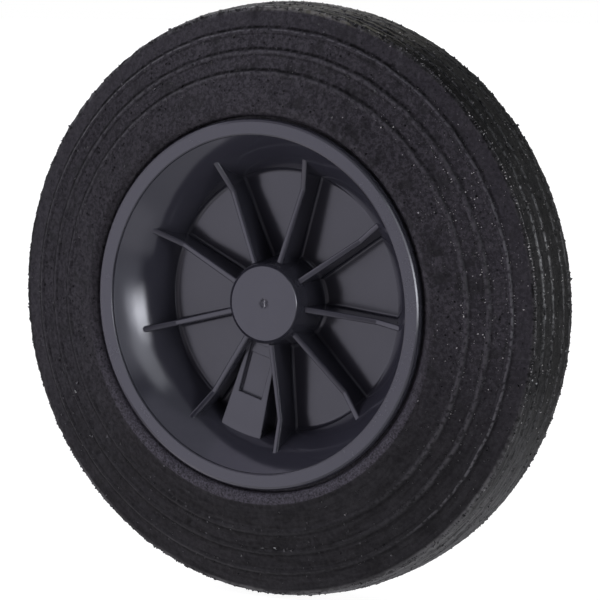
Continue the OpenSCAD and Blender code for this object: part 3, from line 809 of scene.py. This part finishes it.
# the tyre's section turned round the axle, with crumbly and torn rubber on it
def buildTyre():
    s = tyreShape
    front = halfSection(s["frontSpacing"])
    rear = halfSection(s["rearSpacing"])
    # the front half has its level on -Y, and the rear half runs back to the seat's middle
    rows = np.array([(r, -z, w, c) for r, z, w, c in front] + rear[-2:0:-1])
    n, columns = len(rows), s["columns"]
    run = np.roll(rows[:, :2], -1, 0) - np.roll(rows[:, :2], 1, 0)
    normal = np.stack([run[:, 1], -run[:, 0]], 1)
    normal /= np.linalg.norm(normal, axis=1)[:, None]
    angle = np.arange(columns) * 2 * math.pi / columns
    cosA, sinA = np.cos(angle)[:, None], np.sin(angle)[:, None]
    r = np.repeat(rows[None, :, 0], columns, 0)
    y = np.repeat(rows[None, :, 1], columns, 0)
    weight = np.repeat(rows[None, :, 2], columns, 0).ravel()

    # lumps, fine crumbs and slow waves, all pushed inward
    flat = np.stack([r * cosA, y, r * sinA], 2).reshape(-1, 3)
    lump = smoothNoise(flat, s["lumpSize"], 3) + 0.5 * smoothNoise(flat, s["lumpSize"] / 2, 4)
    fine = smoothNoise(flat, s["fineSize"], 5)
    wave = smoothNoise(flat, s["waveSize"], 6)
    push = (s["lumpHeight"] * (lump - s["lumpSink"]) + s["fineHeight"] * (fine - s["fineSink"])
            + s["waveHeight"] * (wave - s["waveSink"]))

    # pits in groups
    tree = KDTree(len(flat))
    for i, p in enumerate(flat):
        tree.insert(p, i)
    tree.balance()
    rng = np.random.default_rng(12)
    centres = rng.choice(len(flat), s["pitGroups"], p=tearOdds(flat, weight))
    for _ in range(s["pits"]):
        c = flat[rng.choice(centres)] + rng.normal(0, s["pitSpread"], 3)
        size = rng.uniform(*s["pitSize"])
        for _, i, d in tree.find_range(c, size):
            push[i] -= s["pitDepth"] * size * (1 - (d / size) ** 2) ** 2
    push = (push * weight).reshape(columns, n)

    # the inner edge off centre, and everything kept inside the solid's box
    atLip = np.clip((s["crestRadius"] - r) / (s["crestRadius"] - s["lipRadius"]), 0, 1)
    atLip = atLip * (r > s["lipRadius"] - 0.01)
    r = r + (s["gapEven"] + s["gapSwing"] * cosA) * atLip
    r = np.minimum(r + push * normal[None, :, 0], s["crownRadius"])
    y = np.clip(y + push * normal[None, :, 1], -s["halfWidth"], s["halfWidth"])
    points = np.stack([r * cosA, y, r * sinA], 2).reshape(-1, 3) * mm
    i, j = np.meshgrid(np.arange(columns), np.arange(n), indexing="ij")
    i2, j2 = (i + 1) % columns, (j + 1) % n
    faces = np.stack([i * n + j, i * n + j2, i2 * n + j2, i2 * n + j], 2).reshape(-1, 4)
    tyre = makePiece("tyreBody", points, faces, tyreRubber)

    # the creases are sharp all the way round
    sharp = rows[:, 3] > 0
    edges = np.zeros(len(tyre.data.edges) * 2, np.int32)
    tyre.data.edges.foreach_get("vertices", edges)
    row = edges.reshape(-1, 2) % n
    marks = tyre.data.attributes
    mark = marks.get("sharp_edge") or marks.new("sharp_edge", "BOOLEAN", "EDGE")
    mark.data.foreach_set("value", (row[:, 0] == row[:, 1]) & sharp[row[:, 0]])
    print("tyre:", n, "rows,", 2 * len(faces), "triangles")
    return tyre, points, weight


tyreBody, tyrePoints, tyreWeight = buildTyre()
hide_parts("tyre")
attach(tyreBody, "wheel")

looseBits = {
    # how many, their sizes in mm, the seed, and how far they sink in as a share of the size
    "tyreCrumbs": (9000, (0.26, 0.95), 7, 0.35),
    "tyreSpecks": (300, (0.10, 0.30), 8, 0.2),
    "tyreGlintFlecks": (1700, (0.16, 0.50), 9, 0.35),
    "sizeLean": 1.6,            # above 1 makes small ones more common
    "cornerReach": (0.45, 1.0),
    "cornerScatter": 0.16,
    # painted glints: the flecks gather on the right, where the light glints, in front of a level,
    # with few on the tread
    "glintTurn": 14.0, "glintSpread": 30.0, "glintLevel": 14 * mm,
    "glintTreadRadius": 97 * mm, "glintTreadShare": 0.25,
}


# many small uneven eight-sided bits, half sunk into the rubber
def buildBits(name, material, paintGlints=False):
    b = looseBits
    count, sizes, seed, sink = b[name]
    rng = np.random.default_rng(seed)
    odds = tearOdds(tyrePoints / mm, tyreWeight)
    # gathered bits are pale flecks painted as glints on the right
    if paintGlints:
        turn = np.degrees(np.arctan2(tyrePoints[:, 2], tyrePoints[:, 0]))
        reach = np.hypot(tyrePoints[:, 0], tyrePoints[:, 2])
        odds *= (np.exp(-((turn - b["glintTurn"]) / b["glintSpread"]) ** 2)
                 * (tyrePoints[:, 1] < b["glintLevel"]))
        odds *= np.where(reach > b["glintTreadRadius"], b["glintTreadShare"], 1.0)
    picks = rng.choice(len(tyrePoints), count, p=odds / odds.sum())
    normals = np.zeros(len(tyrePoints) * 3, np.float32)
    tyreBody.data.vertex_normals.foreach_get("vector", normals)
    normals = normals.reshape(-1, 3)[picks]
    size = (sizes[0] + (sizes[1] - sizes[0]) * rng.random(count) ** b["sizeLean"]) * mm
    corner = np.array([(1, 0, 0), (-1, 0, 0), (0, 1, 0), (0, -1, 0), (0, 0, 1), (0, 0, -1)], float)
    faces = np.array([(0, 2, 4), (2, 1, 4), (1, 3, 4), (3, 0, 4),
                      (2, 0, 5), (1, 2, 5), (3, 1, 5), (0, 3, 5)])
    shape = (corner[None] * rng.uniform(*b["cornerReach"], (count, 6, 1))
             + rng.normal(0, b["cornerScatter"], (count, 6, 3)))
    turn, _ = np.linalg.qr(rng.normal(size=(count, 3, 3)))
    shape = np.einsum("nij,nkj->nki", turn, shape) * size[:, None, None]
    centres = tyrePoints[picks] - normals * (size * sink)[:, None]
    points = (centres[:, None] + shape).reshape(-1, 3)
    reach = np.hypot(points[:, 0], points[:, 2])
    points[:, [0, 2]] *= np.minimum(1, tyreShape["crownRadius"] * mm / reach)[:, None]
    half = tyreShape["halfWidth"] * mm
    points[:, 1] = np.clip(points[:, 1], -half, half)
    faces = (faces[None] + 6 * np.arange(count)[:, None, None]).reshape(-1, 3)
    bits = makePiece(name, points, faces, material, smooth=False)
    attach(bits, "wheel")
    return bits


buildBits("tyreCrumbs", tornRubber)
buildBits("tyreSpecks", paleSpeckAndGlint)
# pale flecks gathered on the right: painted glints
buildBits("tyreGlintFlecks", paleSpeckAndGlint, paintGlints=True)
print("loose bits built")

nodeShading = {"sharpAngle": 28, "weldDistance": 0.002 * mm, "faceWeight": 50}


# shades a CAD mesh smooth, but sharp where its faces meet at more than the angle
def buildShading(name, angle):
    group = bpy.data.node_groups.new(name, "GeometryNodeTree")
    for way in ("INPUT", "OUTPUT"):
        group.interface.new_socket("Geometry", in_out=way, socket_type="NodeSocketGeometry")
    start, end = group.nodes.new("NodeGroupInput"), group.nodes.new("NodeGroupOutput")
    bend = group.nodes.new("GeometryNodeInputMeshEdgeAngle")
    over = addNode(group, "FunctionNodeCompare", {0: bend.outputs[0], 1: math.radians(angle)},
                   operation="GREATER_THAN")
    faces = addNode(group, "GeometryNodeSetShadeSmooth", {"Geometry": start.outputs[0]},
                    domain="FACE")
    edges = addNode(group, "GeometryNodeSetShadeSmooth",
                    {"Geometry": faces.outputs[0], "Selection": over.outputs[0],
                     "Shade Smooth": False}, domain="EDGE")
    group.links.new(edges.outputs[0], end.inputs[0])
    return group


shading = buildShading("cleanShading", nodeShading["sharpAngle"])


def dressNode(node, material):
    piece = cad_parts[node]
    piece.data.materials.clear()
    piece.data.materials.append(material)
    piece.modifiers.new("joined", "WELD").merge_threshold = nodeShading["weldDistance"]
    piece.modifiers.new("shading", "NODES").node_group = shading
    weighted = piece.modifiers.new("weighted", "WEIGHTED_NORMAL")
    weighted.weight = nodeShading["faceWeight"]
    weighted.keep_sharp = True
    return piece


dressNode("hub", hubPlastic)
dressNode("lock_bolt", boltPlastic)
print("hub and bolt dressed")

# in mm, but angle in degrees, and ground and keep as shares
springShape = {"outer": 5.2, "wire": 0.7, "turns": 9, "long": 18.8, "start": 22.35, "level": -4.10,
               "angle": 253.4, "rings": 40, "sides": 12, "ground": 0.25, "keep": 0.84}


# one smooth wire with closed, ground ends
def buildSpring():
    s = springShape
    coil, wire, length = (s["outer"] - s["wire"]) / 2, s["wire"] / 2, s["long"]
    count = s["rings"] * s["turns"] + 1
    t = np.linspace(0, 1, count)
    dead = 1 / s["turns"]
    middle = s["wire"] + (length - 3 * s["wire"]) * (t - dead) / (1 - 2 * dead)
    last = length - 2 * s["wire"] + s["wire"] * (t - 1 + dead) / dead
    lift = wire + np.where(t < dead, s["wire"] * t / dead, np.where(t > 1 - dead, last, middle))
    a = 2 * math.pi * s["turns"] * t
    b = 2 * math.pi * np.arange(s["sides"]) / s["sides"]
    reach = coil + wire * np.cos(b)[None, :]
    flat = s["ground"] * s["wire"]
    along = np.clip(lift[:, None] + wire * np.sin(b)[None, :], flat, length - flat)
    u, v = reach * np.cos(a)[:, None], reach * np.sin(a)[:, None]
    lock = math.radians(s["angle"])
    x = s["start"] + along
    points = np.stack([x * math.cos(lock) - v * math.sin(lock), s["level"] + u,
                       x * math.sin(lock) + v * math.cos(lock)], 2).reshape(-1, 3) * mm
    n = s["sides"]
    i, k = np.meshgrid(np.arange(count - 1), np.arange(n), indexing="ij")
    k2 = (k + 1) % n
    faces = np.stack([i * n + k, i * n + k2, (i + 1) * n + k2, (i + 1) * n + k], 2).reshape(-1, 4)
    spring = makePiece("boltSpring", points, faces, springSteel)
    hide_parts("bolt_spring")
    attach(spring, "wheel")
    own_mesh(spring)
    return spring


buildSpring()
print("spring built")

studio = {
    "floorLevel": -100.0 * mm,
    "floorSize": 12.0,
    "floorTone": (0.20, 0.20, 0.20, 1),
    "floorRoughness": 0.9,
    "floorCloud": 3.0,
    "floorGlow": ((0.93, 0.93, 0.93, 1), (0.94, 0.94, 0.94, 1)),
    "backdrop": (1, 1, 1, 1),
    # azimuth and elevation from the wheel, half width and half height, soft edge sideways
    # and up and down, all in degrees, and radiance; they add up
    "boxes": {
        "leftWide": (-58, 12, 34, 34, 12, 12, (1.30, 1.26, 1.45)),
        "leftCore": (-33, 2, 14, 30, 12, 12, (0.46, 0.46, 0.50)),
        "frontLow": (5, -8, 25, 20, 12, 12, (0.50, 0.47, 0.52)),
        "rightMain": (73.5, 4.5, 4.8, 10.5, 3.6, 21, (12.3, 12.5, 13.0)),
        "rightSide": (66.5, 3, 2.2, 11, 4, 20, (4.2, 4.3, 4.6)),
        "rightHigh": (69, 32, 7, 16, 5, 14, (2.1, 2.15, 2.25)),
        "rightWide": (62, 4, 12, 30, 8, 22, (1.0, 1.02, 1.12)),
        "rightFar": (122, 0, 24, 35, 14, 20, (1.25, 1.25, 1.32)),
        "overLeft": (-66, 65, 42, 24, 12, 12, (0.80, 0.77, 0.93)),
        "overFront": (15, 67, 40, 24, 12, 12, (0.68, 0.68, 0.78)),
        "overRight": (95, 67, 40, 24, 12, 12, (0.42, 0.44, 0.48)),
        "floorAll": (0, -65, 180, 35, 10, 10, (0.76, 0.76, 0.82)),
        "floorFront": (30, -38, 42, 15, 16, 12, (0.40, 0.39, 0.42)),
        "floorLeft": (-60, -35, 42, 13, 16, 12, (0.36, 0.31, 0.34)),
        "floorBack": (-118, -58, 36, 20, 14, 12, (0.46, 0.43, 0.48)),
        "backLeft": (-128, 12, 30, 40, 12, 20, (1.3, 1.3, 1.35)),
        "backGlow": (180, 10, 60, 40, 20, 20, (0.28, 0.28, 0.28)),
    },
}


# a soft-edged box of light: a mask over the directions round the wheel
def buildSoftBox():
    group, given, out = startGroup(
        "softBox",
        [("Azimuth", "Float", 0.0), ("Elevation", "Float", 0.0), ("Half Width", "Float", 20.0),
         ("Half Height", "Float", 20.0), ("Edge", "Float", 5.0), ("Fade", "Float", 5.0)],
        [("Mask", "Float")])
    way = splitNode(group, addNode(group, "ShaderNodeTexCoord").outputs["Generated"])
    toDegrees = 180 / math.pi
    turn = mathNode(group, "ARCTAN2", way["X"], times(group, way["Y"], -1.0))
    turned = minus(group, times(group, turn, toDegrees), given["Azimuth"])
    turned = addNode(group, "ShaderNodeMath", {0: turned, 1: -180.0, 2: 180.0},
                     operation="WRAP").outputs[0]
    raised = times(group, mathNode(group, "ARCSINE", way["Z"]), toDegrees)
    raised = minus(group, raised, given["Elevation"])
    shares = []
    for off, half, edge in ((turned, given["Half Width"], given["Edge"]),
                            (raised, given["Half Height"], given["Fade"])):
        inside = minus(group, half, mathNode(group, "ABSOLUTE", off))
        shares.append(rangeNode(group, mathNode(group, "DIVIDE", inside, edge), -0.5, 0.5))
    putOut(group, out, {"Mask": times(group, *shares)})
    return group


# a pale floor that only the camera sees, so it neither lights nor darkens the wheel
def buildFloor():
    size, z = studio["floorSize"], studio["floorLevel"]
    material, tree, shader = startMaterial(
        "paleFloor", Base_Color=studio["floorTone"], Roughness=studio["floorRoughness"],
        Emission_Strength=1.0)
    cloud = noiseNode(tree, addNode(tree, "ShaderNodeTexCoord").outputs["Object"],
                      studio["floorCloud"])
    putOut(tree, shader, {"Emission Color": mixColor(tree, cloud, *studio["floorGlow"])})
    floor = makePiece("paleFloorSheet",
                      [(-size, -size, z), (size, -size, z), (size, size, z), (-size, size, z)],
                      [(0, 1, 2, 3)], material)
    floor.visible_glossy = floor.visible_diffuse = floor.visible_shadow = False


# the boxes of light round the wheel; the camera sees a plain backdrop instead
def buildStudio():
    world = bpy.data.worlds.new("studioRoom")
    scene.world = world
    world.use_nodes = True
    tree = world.node_tree
    tree.nodes.clear()
    softBox = buildSoftBox()
    total = (0, 0, 0, 1)
    for azimuth, elevation, wide, high, edge, fade, radiance in studio["boxes"].values():
        mask = useGroup(tree, softBox, {"Azimuth": azimuth, "Elevation": elevation,
                                        "Half Width": wide, "Half Height": high,
                                        "Edge": edge, "Fade": fade})["Mask"]
        total = mixColor(tree, mask, total, (*radiance, 1), "ADD")
    seen = addNode(tree, "ShaderNodeLightPath").outputs["Is Camera Ray"]
    tone = mixColor(tree, seen, total, studio["backdrop"])
    sky = addNode(tree, "ShaderNodeBackground", {"Color": tone, "Strength": 1.0})
    output = tree.nodes.new("ShaderNodeOutputWorld")
    tree.links.new(sky.outputs[0], output.inputs[0])


# angles in degrees, lens in mm on a film 36 mm wide, place in mm
cameraSetup = {"azimuth": 30.12, "elevation": 5.90, "lens": 186.8, "film": 36.0,
               "place": (526.0, -900.1, 107.4), "near": 0.05, "far": 60.0}


def buildCamera():
    s = cameraSetup
    camera = bpy.data.cameras.new("camera")
    camera.lens, camera.sensor_width = s["lens"], s["film"]
    camera.clip_start, camera.clip_end = s["near"], s["far"]
    holder = bpy.data.objects.new("camera", camera)
    holder.location = Vector(s["place"]) * mm
    holder.rotation_euler = (math.radians(90 - s["elevation"]), 0, math.radians(s["azimuth"]))
    scene.collection.objects.link(holder)
    scene.camera = holder


buildFloor()
buildStudio()
buildCamera()
scene.view_settings.view_transform = "Standard"
print("studio and camera set")
